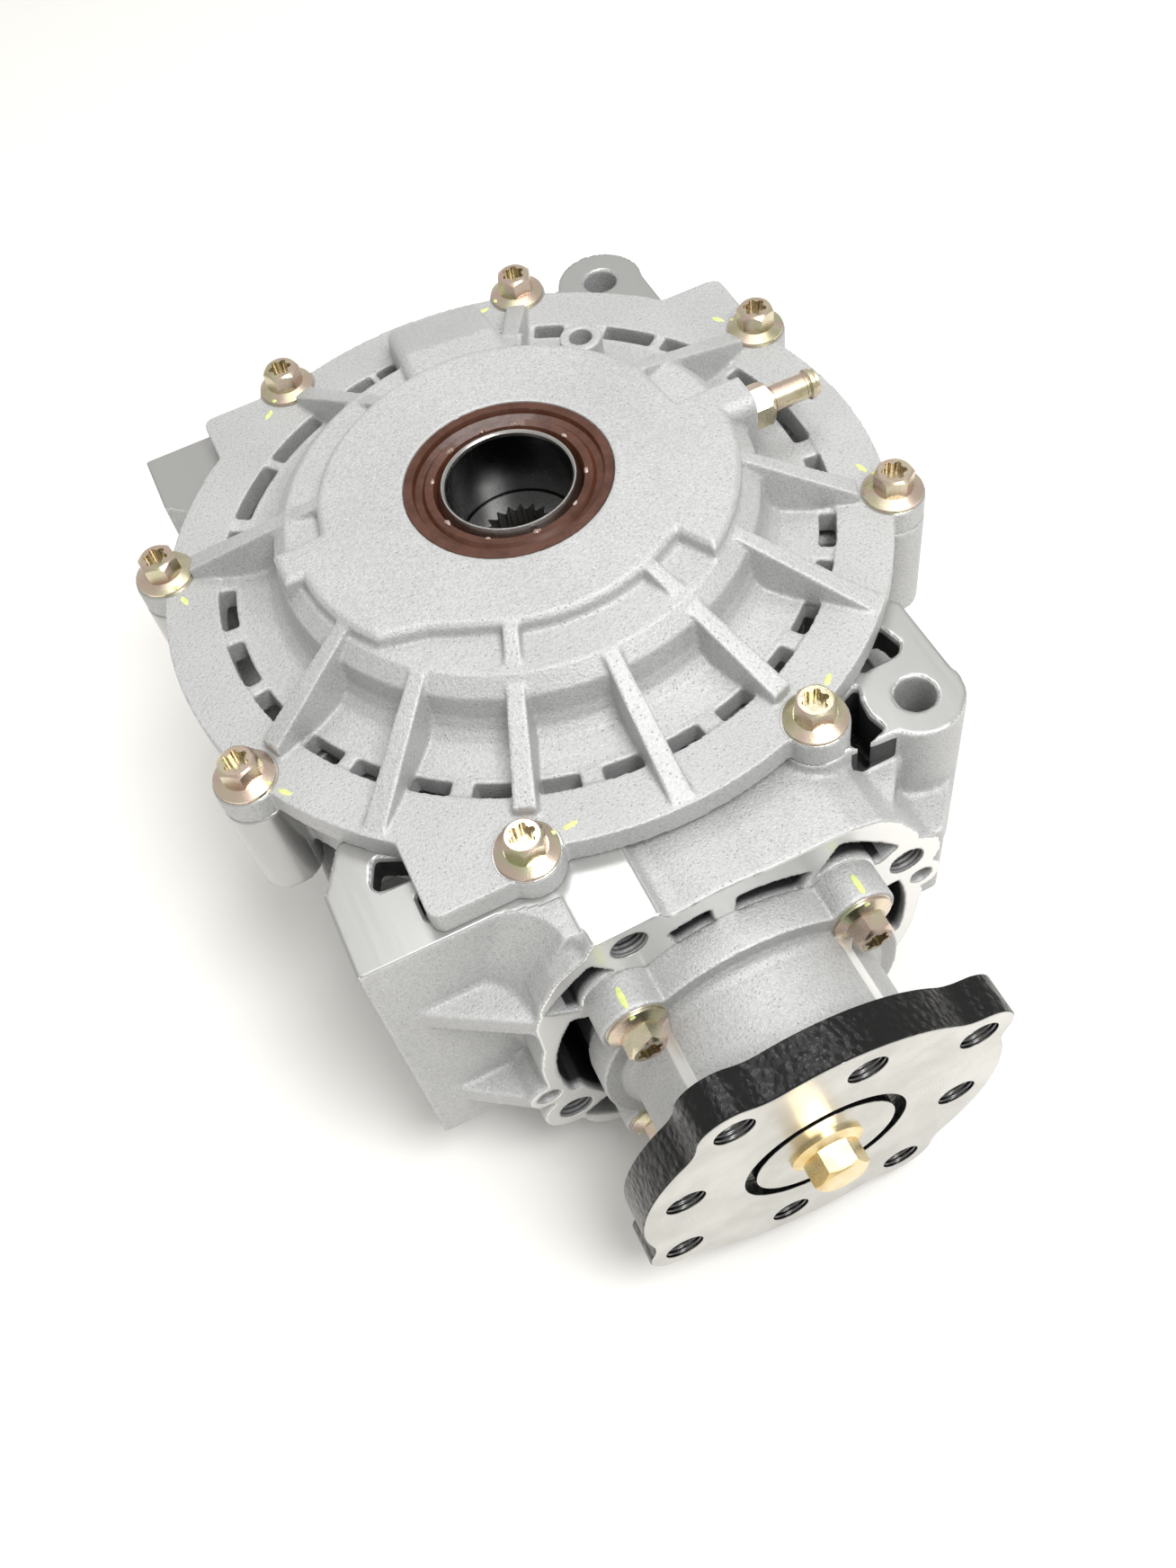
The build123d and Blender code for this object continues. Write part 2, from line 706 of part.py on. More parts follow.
def cover():
    inner_boss = case_bearing.outer + 8
    seat = upper_bearing_z + case_bearing.width
    seal_low = hub_top - seal_height
    body = turned(
        (seal_radius, hub_top), (hub_edge - 1, hub_top), (hub_edge + 1, hub_top - 2),
        (hub_edge + 1.6, ledge_z + 0.8), (hub_edge + 2.6, ledge_z), (ledge_edge, ledge_z),
        (ledge_edge + bevel, ledge_z - bevel), (ledge_edge + bevel + 0.6, 7.0),
        (ledge_edge + bevel + 2.2, 3.4), (ledge_edge + bevel + 5.4, 0.8), (84, -0.3),
        (floor_edge, floor_z), (floor_edge, joint_z), (spigot_radius, joint_z),
        (spigot_radius, joint_z - spigot_depth), (72, joint_z - spigot_depth), (spigot_bore, -4),
        (66.5, 6), (60, 10.5), (inner_boss + 1, 11.5), (inner_boss, upper_bearing_z - 1.6),
        (case_bearing.outer, upper_bearing_z - 1.6), (case_bearing.outer, seat), (seal_step, seat),
        (seal_step, seal_low), (seal_radius, seal_low))
    raised = slab(hub_plateau(), ledge_z - 8, hub_top)
    raised = chamfer(raised.faces().sort_by(Axis.Z)[-1].edges(), 1.4)
    raised -= rod(hub_edge - 3, ledge_z - 10, hub_top + 1)
    ring_plate = slab(flange_outline() - Circle(flange_opening), joint_z, 0)
    bars = tube(flange_opening + 1, floor_edge - 1, joint_z, floor_z + 0.4)
    openings = Sketch() + [sector(floor_edge, flange_opening, *place) for place in slot_places()]
    bars -= slab(openings, joint_z - 1, 2)
    boss = Pos(*drilled_boss, 0)
    body = body.fuse(raised, ring_plate, bars, oil_gallery(), breather_arm(),
                     boss * rod(boss_radius, -3, boss_height), *cover_ribs())
    body -= boss * rod(boss_bore, -1, boss_height + 1)
    body -= Pos(arm_end - 11, breather_y, breather_z) * Rot(0, 90, 0) * rod(m8_radius + fit_gap, 0, 20)
    for spot in bolt_spots():
        body -= spot * rod(m8_hole, joint_z - 1, 4)
    for spot in dowel_spots():
        body -= spot * rod(dowel_radius + fit_gap, joint_z - 1, joint_z + 5)
    groove = tube(spigot_radius + 1, spigot_radius - groove_cut, cover_groove, cover_groove + groove_width)
    bearing_mouth = rod(case_bearing.outer, upper_bearing_z - 4, -3.0)
    spigot_mouth = rod(spigot_bore, joint_z - 9, joint_z - 5)
    return body - groove - bearing_mouth - spigot_mouth - rod(seal_step, -9, 30)


def dowel_spots():
    return [Pos(x, y, 0) for x, y in cover_dowels]


def dowels():
    return numbered("cover_dowel", [spot * rod(dowel_radius, joint_z - 8, joint_z + 4.6)
                                    for spot in dowel_spots()])


def cover_ring():
    return tube(spigot_radius + run_gap, spigot_radius - groove_cut + run_gap,
                cover_groove + 0.1, cover_groove + groove_width - 0.1)


def cover_bolts():
    bolt = flange_bolt(m8_across, m8_flange, m8_head, m8_radius, 28)
    return numbered("cover_bolt", [spot * bolt for spot in bolt_spots()])


def breather_fitting():
    end = breather_length
    nut = slab(RegularPolygon(6.0, 6, major_radius=False), 0, 6.4)
    nut &= turned((0, 0), (6.9, 0), (6.9, 5.4), (6.1, 6.4), (0, 6.4))
    stem = turned((0, -9), (m8_radius, -9), (m8_radius, 6), (3.7, 6.6), (3.7, 8), (4.0, 8), (4.0, end - 4.2),
                  (3.7, end - 3.8), (3.7, end - 3.2), (4.7, end - 2.6), (4.7, end - 1.4), (4.1, end - 0.9),
                  (4.1, end), (0, end))
    passage = rod(barb_bore, -10, end + 1)
    return Pos(arm_end, breather_y, breather_z) * Rot(0, 90, 0) * (nut + stem - passage)


# input cartridge
def cartridge():
    head = head_bearing_s()
    tail = tail_bearing_s()
    inner_end = head + 0.6
    outline = Circle(cartridge_edge)
    for k in range(4):
        outline += Pos(*polar(cartridge_bolts, 45 + 90 * k)) * Circle(cartridge_lobe)
    body = slab(outline, mount_s, cartridge_s)
    body += turned((0, inner_end), (cartridge_spigot, inner_end), (cartridge_spigot, mount_s + 1),
                   (snout_radius + 4, mount_s + 1), (snout_radius + 3.2, cartridge_s),
                   (snout_radius + 1.0, cartridge_s + 1.2), (snout_radius, cartridge_s + 3.6),
                   (snout_radius, snout_end - 1), (snout_radius - 1, snout_end), (0, snout_end))
    head_end = head + head_bearing.width + 0.05
    body -= turned((0, inner_end - 1), (head_bearing.outer, inner_end - 1), (head_bearing.outer, head_end),
                   (31, head_end), (30, head_end + 5), (27, tail - 12), (27, tail - 0.05),
                   (tail_bearing.outer, tail - 0.05), (tail_bearing.outer, snout_end - 7.0),
                   (29, snout_end - 7.0), (29, snout_end + 1), (0, snout_end + 1))
    for spot in around(4, cartridge_bolts, 45):
        body -= spot * rod(m8_hole, mount_s - 1, cartridge_s + 1)
        body -= spot * rod(m8_flange + 0.1, cartridge_s, cartridge_s + m8_head + 2)
    body -= tube(cartridge_spigot + 1, cartridge_spigot - groove_cut, cartridge_groove,
                 cartridge_groove + groove_width)
    return at_input(body)


def cartridge_ring():
    return at_input(tube(cartridge_spigot + fit_gap, cartridge_spigot - groove_cut + run_gap,
                         cartridge_groove + 0.1, cartridge_groove + groove_width - 0.1))


def cartridge_screws():
    bolt = flange_bolt(m8_across, m8_flange, m8_head, m8_radius, 30)
    return numbered("cartridge_bolt", [at_input(spot * Pos(0, 0, cartridge_s) * bolt)
                                       for spot in around(4, cartridge_bolts, 45)])


# housing
def mount_outline():
    shape = Circle(mount_radius)
    shape += make_face(Polyline((-neck_side, 30), (-57, 44), (-51, 54), (-45, 58.6), (-38, 61.5),
                                (38, 61.5), (47, 58.8), (54, 52), (neck_side, 42), (neck_side, 18),
                                (-neck_side, 18), close=True))
    for k in range(4):
        shape += Pos(*polar(mount_bolt_radius, mount_first + 90 * k)) * Circle(mount_boss)
    shape += Pos(*polar(mount_bolt_radius, mount_first + 90)) * Circle(top_boss)
    for angle in dowel_angles:
        shape += Pos(*polar(front_dowel_circle, angle)) * Circle(6.4)
    for angle in (225, 315):
        shape += Pos(*polar(54.5, angle)) * Circle(17)
    tallest = joint_z - pinion_z
    height = tallest - (lower_face - pinion_z) - 0.4
    window = Pos(0, tallest) * Rectangle(200, height, align=(Align.CENTER, Align.MAX))
    return shape & window


def mount_windows():
    # outer radius, middle angle and width in degrees of each opening in the front face
    places = [(55.3, 102, 14), (55.3, 74.5, 25), (57.8, 172.5, 47), (54.2, 204, 16), (57.8, 3, 34),
              (53, 23.5, 9), (57, 248, 16), (57, 279, 18), (68.5, 135.5, 18), (66.5, 48, 22),
              (66.4, 221.5, 14), (66.4, 319.5, 21)]
    openings = Sketch() + [sector(window_inner, *place) for place in places]
    for k in range(4):
        openings -= Pos(*polar(cartridge_bolts, 45 + 90 * k)) * Circle(cartridge_lobe + 0.8)
    return openings


def neck():
    # the outline's block, and under the cup a round wall that keeps the cartridge bore closed
    under_cup = rod(cup_bore + cup_wall, lower_face - 1, cup_floor - 4)
    sheath = at_input(rod(cartridge_spigot + cup_wall, sheath_start, mount_s))
    block_part = at_input(slab(mount_outline(), 66, mount_s)) - under_cup
    return block_part + sheath - rod(cup_bore, cup_floor + 1, 0)


def blend_section(edge_x, z):
    # concave corner between the front wall and the side of the neck
    left, low = edge_x - neck_blend, frame_front - neck_blend
    middle = neck_blend * math.sqrt(0.5)
    edges = [
        ThreePointArc((left, frame_front), (left + middle, low + middle), (edge_x, low)),
        Polyline((edge_x, low), (edge_x + 8, low), (edge_x + 8, frame_front + 5),
                 (left, frame_front + 5), (left, frame_front)),
    ]
    return Pos(0, 0, z) * make_face(edges)


def neck_corner():
    # it ends neck_lap inside the neck's side, so that the two surfaces cross and don't just touch
    knee, edge_x = -36.0, neck_lap - neck_side
    upper = loft([blend_section(edge_x, knee), blend_section(-44, joint_z - 0.4)])
    lower = extrude(blend_section(edge_x, frame_bottom), knee - frame_bottom)
    return [upper, lower]


def mount_cuts():
    # windows, tapped holes and locating holes of the front face
    cup = rod(cup_bore + cup_wall, lower_face - 1, joint_z)
    cuts = [at_input(slab(mount_windows(), window_floor, mount_s + 1)) - cup]
    cuts += [at_input(spot * rod(mount_tapped, mount_s - 26, mount_s + 1))
             for spot in around(4, mount_bolt_radius, mount_first)]
    cuts += [at_input(Pos(*polar(front_dowel_circle, angle)) * rod(dowel_radius, mount_s - 16, mount_s + 1))
             for angle in dowel_angles]
    return cuts


def pockets():
    left_one = [(-80.4, -79.2), (-84, -87.2), (-82.4, -90), (-71, -90.4), (-71, -84)]
    left_two = [(-74, -96), (-74, -105), (-54, -105), (-54, -99), (-62, -96)]
    right_one = [(70, -76), (77.8, -78.8), (79.8, -87), (77.2, -90), (64.5, -91), (66, -83)]
    right_two = [(62.5, -93), (60.2, -98), (59.4, -104), (61, -110), (52.6, -113), (49.6, -111),
                 (53.4, -104), (53.4, -97)]
    return [left_one, left_two, right_one, right_two]


def corner_plates():
    low = joint_z - plate_thick
    left = plate([(frame_left, frame_front), (-44, frame_front), (-52, -84), (-70, -70),
                  (-88, -70), (frame_left, -84)], low, joint_z)
    left_back = plate([(frame_left, frame_back), (-44, frame_back), (-52, 84), (-70, 72),
                       (-88, 74), (frame_left, 82)], low, joint_z)
    right = plate([(frame_right, -ear_y), (frame_right, -74), (78, -66), (56, -78), (46, -92),
                   (46, -112), (62, -113), (72, -112)], low, joint_z)
    right_back = plate([(frame_right + 0.5, ear_y), (frame_right + 0.5, 74), (78, 66), (56, 78),
                        (46, 92), (46, 106), (60, 108)], low, joint_z)
    return [left, left_back, right, right_back]


def frame_walls():
    low = frame_bottom
    sloped = Plane.YZ * Polyline((frame_front, joint_z), (frame_front - front_lean, low),
                                 (frame_front - front_lean + frame_wall, low),
                                 (frame_front + frame_wall, joint_z), close=True)
    front = Pos(frame_left, 0, 0) * extrude(make_face(sloped), 52)
    corner = block((frame_left, frame_left + frame_wall), (frame_front, -84), (low, joint_z))
    foot = plate([(frame_left, frame_front + 1), (frame_left + frame_wall, frame_front + 1),
                  (frame_left + frame_wall, frame_front - front_lean),
                  (frame_left, frame_front - front_lean)], low, joint_z)
    foot &= Pos(frame_left - 1, 0, 0) * extrude(make_face(Plane.YZ * Polyline(
        (frame_front + 3, joint_z), (frame_front, joint_z), (frame_front - front_lean, low),
        (frame_front + 3, low), close=True)), 20)
    side = block((frame_left, frame_left + frame_wall), (-84.5, 82), (low, side_top))
    back_corner = block((frame_left, frame_left + frame_wall), (81, frame_back), (low, joint_z))
    back = block((frame_left, 66), (frame_back - frame_wall, frame_back), (low, joint_z - plate_thick + 1))
    right = block((frame_right - frame_wall, frame_right), (-ear_y, ear_y), (right_bottom, joint_z - 26))
    return [front, corner, foot, side, back_corner, back, right]


def frame_webs():
    low, top = frame_bottom, side_top - 2
    webs = [block((frame_left + 2, -70), (y - web_half, y + web_half), (low, top)) for y in (-58, 0, 58)]
    webs += [block((x - web_half, x + web_half), (70, frame_back - 2), (low, top)) for x in (-58, 0, 52)]
    webs += [block((70, frame_right - 2), (y - web_half, y + web_half), (right_bottom, top))
             for y in (-46, 46)]
    return webs


def gussets():
    walls = []
    for top, edge_y, inner_x, left_x in ((-36.0, -113.5, -58, -89.0), (-83.2, -117.8, -66, -88.0)):
        points = [(left_x, edge_y + 3), (left_x, edge_y), (inner_x - 2.0, -mount_s + 0.6),
                  (inner_x + 8, -mount_s + 0.6), (inner_x + 8, edge_y + 3)]
        walls.append(plate(points, top - 9, top))
    return walls


def front_right():
    # the ear's pillar runs down and sweeps forward into the side of the neck
    pillar = Pos(ear_x, -ear_y, 0) * rod(ear_radius, pillar_bottom, joint_z)
    sweep = plate([(frame_right, -ear_y + 6), (frame_right - 0.6, -ear_y - 6), (68.6, -mount_s + 0.5),
                   (50, -mount_s + 0.5), (50, -92), (frame_right, -92)],
                  right_bottom, -38)
    slope = plate([(66, -92), (66, -ear_y - 6), (52, -mount_s + 3), (38, -mount_s + 3), (40, -96)],
                  -40, joint_z - 12)
    return [pillar, sweep, slope]


def bolt_columns():
    columns = [spot * rod(column_radius, column_bottom, joint_z) for spot in bolt_spots()]
    web = block((cup_bore + 2, bolt_circle), (-column_web / 2, column_web / 2),
                (column_bottom, joint_z - 3))
    columns += [Rot(0, 0, bolt_first + 360 / bolt_count * k) * web
                for k in range(bolt_count)]
    return columns


def rim_webs():
    web = block((cup_bore + 3, 99), (-rim_web / 2, rim_web / 2), (rim_low, joint_z - 4))
    return [Rot(0, 0, 5 + 15 * k) * web for k in range(24)]


def housing():
    outer = cup_bore + cup_wall
    body = turned((0, joint_z), (outer, joint_z), (outer, cup_floor + 6), (outer - 6, cup_floor - 6),
                  (lower_boss + 6, cup_floor - floor_thick), (lower_boss + 1, cup_floor - 12),
                  (lower_boss, lower_face + 2), (lower_boss - 2, lower_face), (0, lower_face))
    body += tube(rim_outer, rim_inner, rim_low, joint_z)
    parts = rim_webs() + bolt_columns() + corner_plates() + frame_walls() + frame_webs()
    parts += gussets() + front_right() + neck_corner()
    parts += [Pos(ear_x, ear_y, 0) * rod(ear_radius + 1, pillar_bottom, joint_z)]
    parts += [spot * rod(radius + 6, -26, 0) for spot, radius in plug_spots()]
    foot = block((lower_boss - 4, outer - 4), (-web_half, web_half), (cup_floor - 17, cup_floor))
    parts += [Rot(0, 0, 45 * k) * foot for k in range(8)]
    body = body.fuse(*parts)
    for outline in pockets():
        body -= plate(outline, pocket_floor, joint_z + 1)
    body -= rod(cup_bore, cup_floor, joint_z + 1)
    body += neck()
    return finish_housing(body)


def finish_housing(body):
    seat_top = lower_bearing_z + case_bearing.width
    boss = tube(lower_boss, case_bearing.outer - 2, cup_floor - 2, seat_top + 1.6)
    body += boss
    body -= turned((0, seat_top + 3), (case_bearing.outer, seat_top + 3),
                   (case_bearing.outer, lower_bearing_z), (seal_step, lower_bearing_z),
                   (seal_step, lower_face + seal_height),
                   (seal_radius, lower_face + seal_height), (seal_radius, lower_face - 1),
                   (0, lower_face - 1))
    body -= at_input(rod(cartridge_spigot + fit_gap, 60, mount_s + 1))
    for spot in around(4, cartridge_bolts, 45):
        body -= at_input(spot * rod(m8_tapped, mount_s - 24, mount_s + 1))
    for spot in bolt_spots():
        body -= spot * rod(m8_tapped, column_bottom + 6, joint_z + 1)
    for spot in dowel_spots():
        body -= spot * rod(dowel_radius + fit_gap, joint_z - 8.4, joint_z + 1)
    for y in (-ear_y, ear_y):
        body -= Pos(ear_x, y, 0) * rod(ear_hole, -90, joint_z + 1)
    for cut in mount_cuts():
        body -= cut
    for spot, radius in plug_spots():
        body -= spot * rod(radius + fit_gap, -16, 20)
        body -= spot * rod(radius - 2, -40, 1)
    return body


def plug_spots():
    wall = frame_back
    return [(Pos(-20, wall, -62) * Rot(-90, 0, 0), 9.0), (Pos(24, wall, -96) * Rot(-90, 0, 0), 9.0)]


def level_plug(index):
    spot, radius = plug_spots()[index]
    head = slab(RegularPolygon(11, 6, major_radius=False), 1.6, 9)
    plug = rod(13, 0, 2.2) + head + rod(radius, -10, 1)
    return spot * (plug - slab(RegularPolygon(4, 6, major_radius=False), 4, 10))


# export
def parts():
    made = {
        "housing": housing(),
        "cover": cover(),
        "cover_ring": cover_ring(),
        "upper_output_seal": output_seal(hub_top),
        "lower_output_seal": Pos(0, 0, lower_face) * Rot(180, 0, 0) * output_seal(0),
        "breather_fitting": breather_fitting(),
        "fill_plug": level_plug(0),
        "drain_plug": level_plug(1),
        "input_cartridge": cartridge(),
        "cartridge_ring": cartridge_ring(),
        "input_seal": pinion_seal(),
        "differential_case": case_body(),
        "ring_gear": ring_gear(),
        "ring_gear_bolts": ring_bolts(),
        "cross_pin": cross_pin(),
        "cross_pin_lock": roll_pin(),
        "upper_side_washer": side_washer(0),
        "lower_side_washer": side_washer(180),
        "left_spider_washer": spider_washer(-1),
        "right_spider_washer": spider_washer(1),
        "upper_side_gear": side_gear(1),
        "lower_side_gear": side_gear(-1),
        "left_spider_gear": spider_gear(-1),
        "right_spider_gear": spider_gear(1),
        "input_pinion": pinion_shaft(),
        "bearing_spacer": spacer_tube(),
        "companion_flange": companion_flange(),
        "flange_centre_bolt": flange_centre_bolt(),
    }
    sizes = {"upper": case_bearing, "lower": case_bearing, "head": head_bearing, "tail": tail_bearing}
    for name, size in sizes.items():
        place = bearing_place(name)
        made[name + "_bearing_cup"] = place * bearing_cup(size)
        made[name + "_bearing_cone"] = place * bearing_cone(size)
        made[name + "_bearing_rollers"] = place * bearing_rollers(size)
    for repeated in (cover_bolts(), cartridge_screws(), dowels()):
        made.update(repeated)
    return made


os.makedirs("parts", exist_ok=True)
for node, solid in parts().items():
    export_step(solid, "parts/" + node + ".step")
    print(node, len(solid.solids()), round(solid.volume / 1000, 1))
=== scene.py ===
import json
import math
import bpy
import bmesh
from mathutils import Matrix, Vector

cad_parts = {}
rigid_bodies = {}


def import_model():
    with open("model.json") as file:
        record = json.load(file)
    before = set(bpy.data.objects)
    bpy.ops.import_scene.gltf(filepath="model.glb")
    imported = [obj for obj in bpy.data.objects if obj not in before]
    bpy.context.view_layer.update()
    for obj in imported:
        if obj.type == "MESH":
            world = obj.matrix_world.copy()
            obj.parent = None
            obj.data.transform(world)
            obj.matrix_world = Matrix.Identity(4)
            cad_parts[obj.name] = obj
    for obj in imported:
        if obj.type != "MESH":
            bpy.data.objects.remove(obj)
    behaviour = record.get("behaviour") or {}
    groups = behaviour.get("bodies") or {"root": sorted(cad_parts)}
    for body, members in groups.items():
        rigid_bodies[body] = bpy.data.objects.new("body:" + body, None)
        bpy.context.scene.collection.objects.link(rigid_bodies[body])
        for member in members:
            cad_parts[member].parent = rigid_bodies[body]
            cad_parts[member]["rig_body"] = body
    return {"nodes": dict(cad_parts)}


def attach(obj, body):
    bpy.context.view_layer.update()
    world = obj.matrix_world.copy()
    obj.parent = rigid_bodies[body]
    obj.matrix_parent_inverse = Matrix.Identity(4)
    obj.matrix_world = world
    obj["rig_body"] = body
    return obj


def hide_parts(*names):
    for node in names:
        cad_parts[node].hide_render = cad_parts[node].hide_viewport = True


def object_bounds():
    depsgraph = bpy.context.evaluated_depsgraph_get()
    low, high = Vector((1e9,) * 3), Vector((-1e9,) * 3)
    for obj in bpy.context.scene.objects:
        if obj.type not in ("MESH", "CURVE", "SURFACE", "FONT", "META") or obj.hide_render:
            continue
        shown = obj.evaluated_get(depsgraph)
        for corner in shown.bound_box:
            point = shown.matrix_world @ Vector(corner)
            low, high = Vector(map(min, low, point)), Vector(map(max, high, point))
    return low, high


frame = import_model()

scene = bpy.context.scene
mm = 0.001
for leftover in ("Cube", "Light", "Camera"):
    if leftover in bpy.data.objects:
        bpy.data.objects.remove(bpy.data.objects[leftover])
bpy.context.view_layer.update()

# places of the solids that the finishes follow: height of the input's axis, then for each circle
# of spots its radius, how many spots it has and the angle of the first
inputAxis = -0.074
coverScrews, cartridgeScrews = (0.112, 8, 22.5), (0.049, 4, 45)
frontThreads = (0.0635, 4, 27)
outerDriveHoles, innerDriveHoles = (0.0532, 4, 30), (0.0443, 4, 75)
frontFace, seatFace, driveFace, jointFace, sidePad, lowerFace = -132.2, -143.8, -186.1, -8.8, -96.5, -140.0


# shader maths
class Wire:
    # wraps a socket so that masks and patterns read as plain sums
    def __init__(self, graph, socket):
        self.graph, self.socket = graph, socket

    def maths(self, operation, *others):
        return self.graph.node("ShaderNodeMath", {"operation": operation},
                               dict(enumerate((self, *others))))

    def __add__(self, other):
        return self.maths("ADD", other)

    __radd__ = __add__

    def __sub__(self, other):
        return self.maths("SUBTRACT", other)

    def __rsub__(self, other):
        return self.graph.node("ShaderNodeMath", {"operation": "SUBTRACT"}, {0: other, 1: self})

    def __mul__(self, other):
        return self.maths("MULTIPLY", other)

    __rmul__ = __mul__

    def step(self, low, high):
        # 0 below low, 1 above high, smooth between; low above high turns it round
        return self.graph.node("ShaderNodeMapRange", {"interpolation_type": "SMOOTHSTEP"},
                               {"Value": self, "From Min": low, "From Max": high})


class Finish:
    # one material and its node tree
    def __init__(self, name, **fixed):
        self.material = bpy.data.materials.new(name)
        self.material.use_nodes = True
        self.tree = self.material.node_tree
        self.shader = self.tree.nodes["Principled BSDF"]
        for socket, value in fixed.items():
            self.shader.inputs[socket.replace("_", " ")].default_value = value
        self.place = self.node("ShaderNodeTexCoord", {}, {}, "Object")
        split = self.tree.nodes.new("ShaderNodeSeparateXYZ")
        self.tree.links.new(self.place.socket, split.inputs[0])
        self.x, self.y, self.z = (Wire(self, split.outputs[k]) for k in range(3))

    def node(self, kind, settings, links, output=0):
        made = self.tree.nodes.new(kind)
        for key, value in settings.items():
            if key == "stops":
                ramp = made.color_ramp.elements
                while len(ramp) < len(value):
                    ramp.new(0.5)
                for stop, (position, colour) in zip(ramp, value):
                    stop.position, stop.color = position, (*colour, 1)
            else:
                setattr(made, key, value)
        for key, value in links.items():
            target = made.inputs[key]
            if isinstance(value, Wire):
                self.tree.links.new(value.socket, target)
            else:
                target.default_value = value
        return Wire(self, made.outputs[output])

    def noise(self, scale, detail, rough, stretch=None):
        where = self.place
        if stretch:
            where = self.node("ShaderNodeMapping", {}, {"Vector": where, "Scale": stretch})
        return self.node("ShaderNodeTexNoise", {}, {"Vector": where, "Scale": scale,
                                                   "Detail": detail, "Roughness": rough}, "Fac")

    def cells(self, scale):
        return self.node("ShaderNodeTexVoronoi", {}, {"Vector": self.place, "Scale": scale},
                         "Distance")

    def mix(self, mask, low, high):
        def colour(value):
            return value if isinstance(value, Wire) else (*value, 1)
        made = self.tree.nodes.new("ShaderNodeMix")
        made.data_type = "RGBA"
        for socket, value in ((made.inputs[0], mask), (made.inputs[6], colour(low)),
                              (made.inputs[7], colour(high))):
            if isinstance(value, Wire):
                self.tree.links.new(value.socket, socket)
            else:
                socket.default_value = value
        return Wire(self, made.outputs[2])

    def ramp(self, value, *stops):
        return self.node("ShaderNodeValToRGB", {"stops": stops}, {"Fac": value})

    def distance(self, a, b):
        return (a * a + b * b).maths("SQRT")

    def fromInput(self):
        # distance from the input's axis
        return self.distance(self.x, self.z - inputAxis)

    def nearest(self, a, b, circle, count, first):
        # distance to the nearest of count spots spaced round a circle
        away, half = self.distance(a, b), math.pi / count
        turn = (b.maths("ARCTAN2", a) - math.radians(first)).maths("WRAP", half, -half)
        return self.distance(away * turn.maths("COSINE") - circle, away * turn.maths("SINE"))

    def bump(self, height, strength, depth):
        return self.node("ShaderNodeBump", {}, {"Height": height, "Strength": strength,
                                               "Distance": depth})

    def feed(self, **wires):
        for socket, wire in wires.items():
            self.tree.links.new(wire.socket, self.shader.inputs[socket.replace("_", " ")])
        return self.material


# finishes
castDark, castLight = (0.45, 0.453, 0.45), (0.53, 0.533, 0.528)
# one milled tone in two copies: tops painted darker as painted shade, front faces painted lighter as
# painted reflection
milledTopPaintedShade, milledFrontPaintedLight = (0.45, 0.45, 0.44), (0.78, 0.78, 0.76)


def above(wire, level, soft=0.0001):
    return wire.step(level - soft, level + soft)


def below(wire, level, soft=0.0001):
    return wire.step(level + soft, level - soft)


def inside(finish, *ranges):
    # 1 within the given x, y and z ranges, None where a side is open
    mask = 1.0
    for wire, limits in zip((finish.x, finish.y, finish.z), ranges):
        low, high = limits
        if low is not None:
            mask = above(wire, low) * mask
        if high is not None:
            mask = below(wire, high) * mask
    return mask


def threads(finish, pitch):
    return (finish.y * (2 * math.pi / pitch)).maths("SINE")


def castFinish(name, milledMask, shadeMask=None, tappedAndShaded=None):
    # fine-grained cast alloy; the masks give what a cutter has cleaned, and where painted shade turns deep
    # windows and pockets near-black
    cast = Finish(name)
    milled = milledMask(cast)
    cloud = cast.noise(30, 3, 0.5)
    grain = cast.noise(1150, 3, 0.65)
    paintedGlint = cast.noise(2300, 1, 0.5).step(0.60, 0.74)
    pits = cast.cells(640).step(0.24, 0.06)
    edge = cast.node("ShaderNodeNewGeometry", {}, {}, "Pointiness")
    worn, creaseShade = edge.step(0.515, 0.56), edge.step(0.488, 0.43)
    skin = cast.mix(cloud.step(0.1, 0.9), castDark, castLight)
    skin = cast.mix(grain.step(0.58, 0.36) * 0.32, skin, (0.27, 0.275, 0.28))
    # painted glints: small bright specks mixed into the colour
    skin = cast.mix(paintedGlint * 0.4, skin, (0.80, 0.80, 0.79))
    skin = cast.mix(pits * 0.30, skin, (0.18, 0.18, 0.18))
    # painted shade: darker where the surface folds inwards, in creases and hollows
    skin = cast.mix(creaseShade * 0.40, skin, (0.19, 0.19, 0.19))
    skin = cast.mix(worn * 0.30, skin, (0.70, 0.70, 0.69))
    # milled faces: front-facing ones get the painted-reflection tone, the rest the painted-shade tone
    skin = cast.mix(milled, skin, cast.mix(below(cast.y, -0.1318), milledTopPaintedShade, milledFrontPaintedLight))
    # painted shade: deep windows and pockets made near-black
    if shadeMask:
        skin = cast.mix(shadeMask(cast) * 0.94, skin, (0.010, 0.010, 0.011))
    lines = cast.noise(620, 1, 0.4, stretch=(1, 0.05, 1))
    height = (grain * 0.9 - pits * 0.45 + cloud * 0.4) * (1 - milled) + lines * milled * 0.05
    # tapped holes: real threads in the bump, and painted shade darkening the colour inside the hole
    if tappedAndShaded:
        hole = tappedAndShaded(cast)
        skin = cast.mix(hole * 0.7, skin, (0.20, 0.20, 0.20))
        height = height + threads(cast, 0.0015) * hole * 0.8
    rough = (0.49 + grain * 0.10) * (1 - milled) + (0.26 + lines * 0.10) * milled
    return cast.feed(Base_Color=skin, Roughness=rough, Metallic=0.35 + milled * 0.35,
                     Normal=cast.bump(height, 0.7, 0.0004))


def milledHousing(cast):
    front = below(cast.y, frontFace * mm + 0.00015)
    joint = above(cast.z, jointFace * mm - 0.00025)
    side = below(cast.x, sidePad * mm + 0.0001)
    under = below(cast.z, lowerFace * mm + 0.00015)
    return (front + joint + side + under).maths("MINIMUM", 1.0)


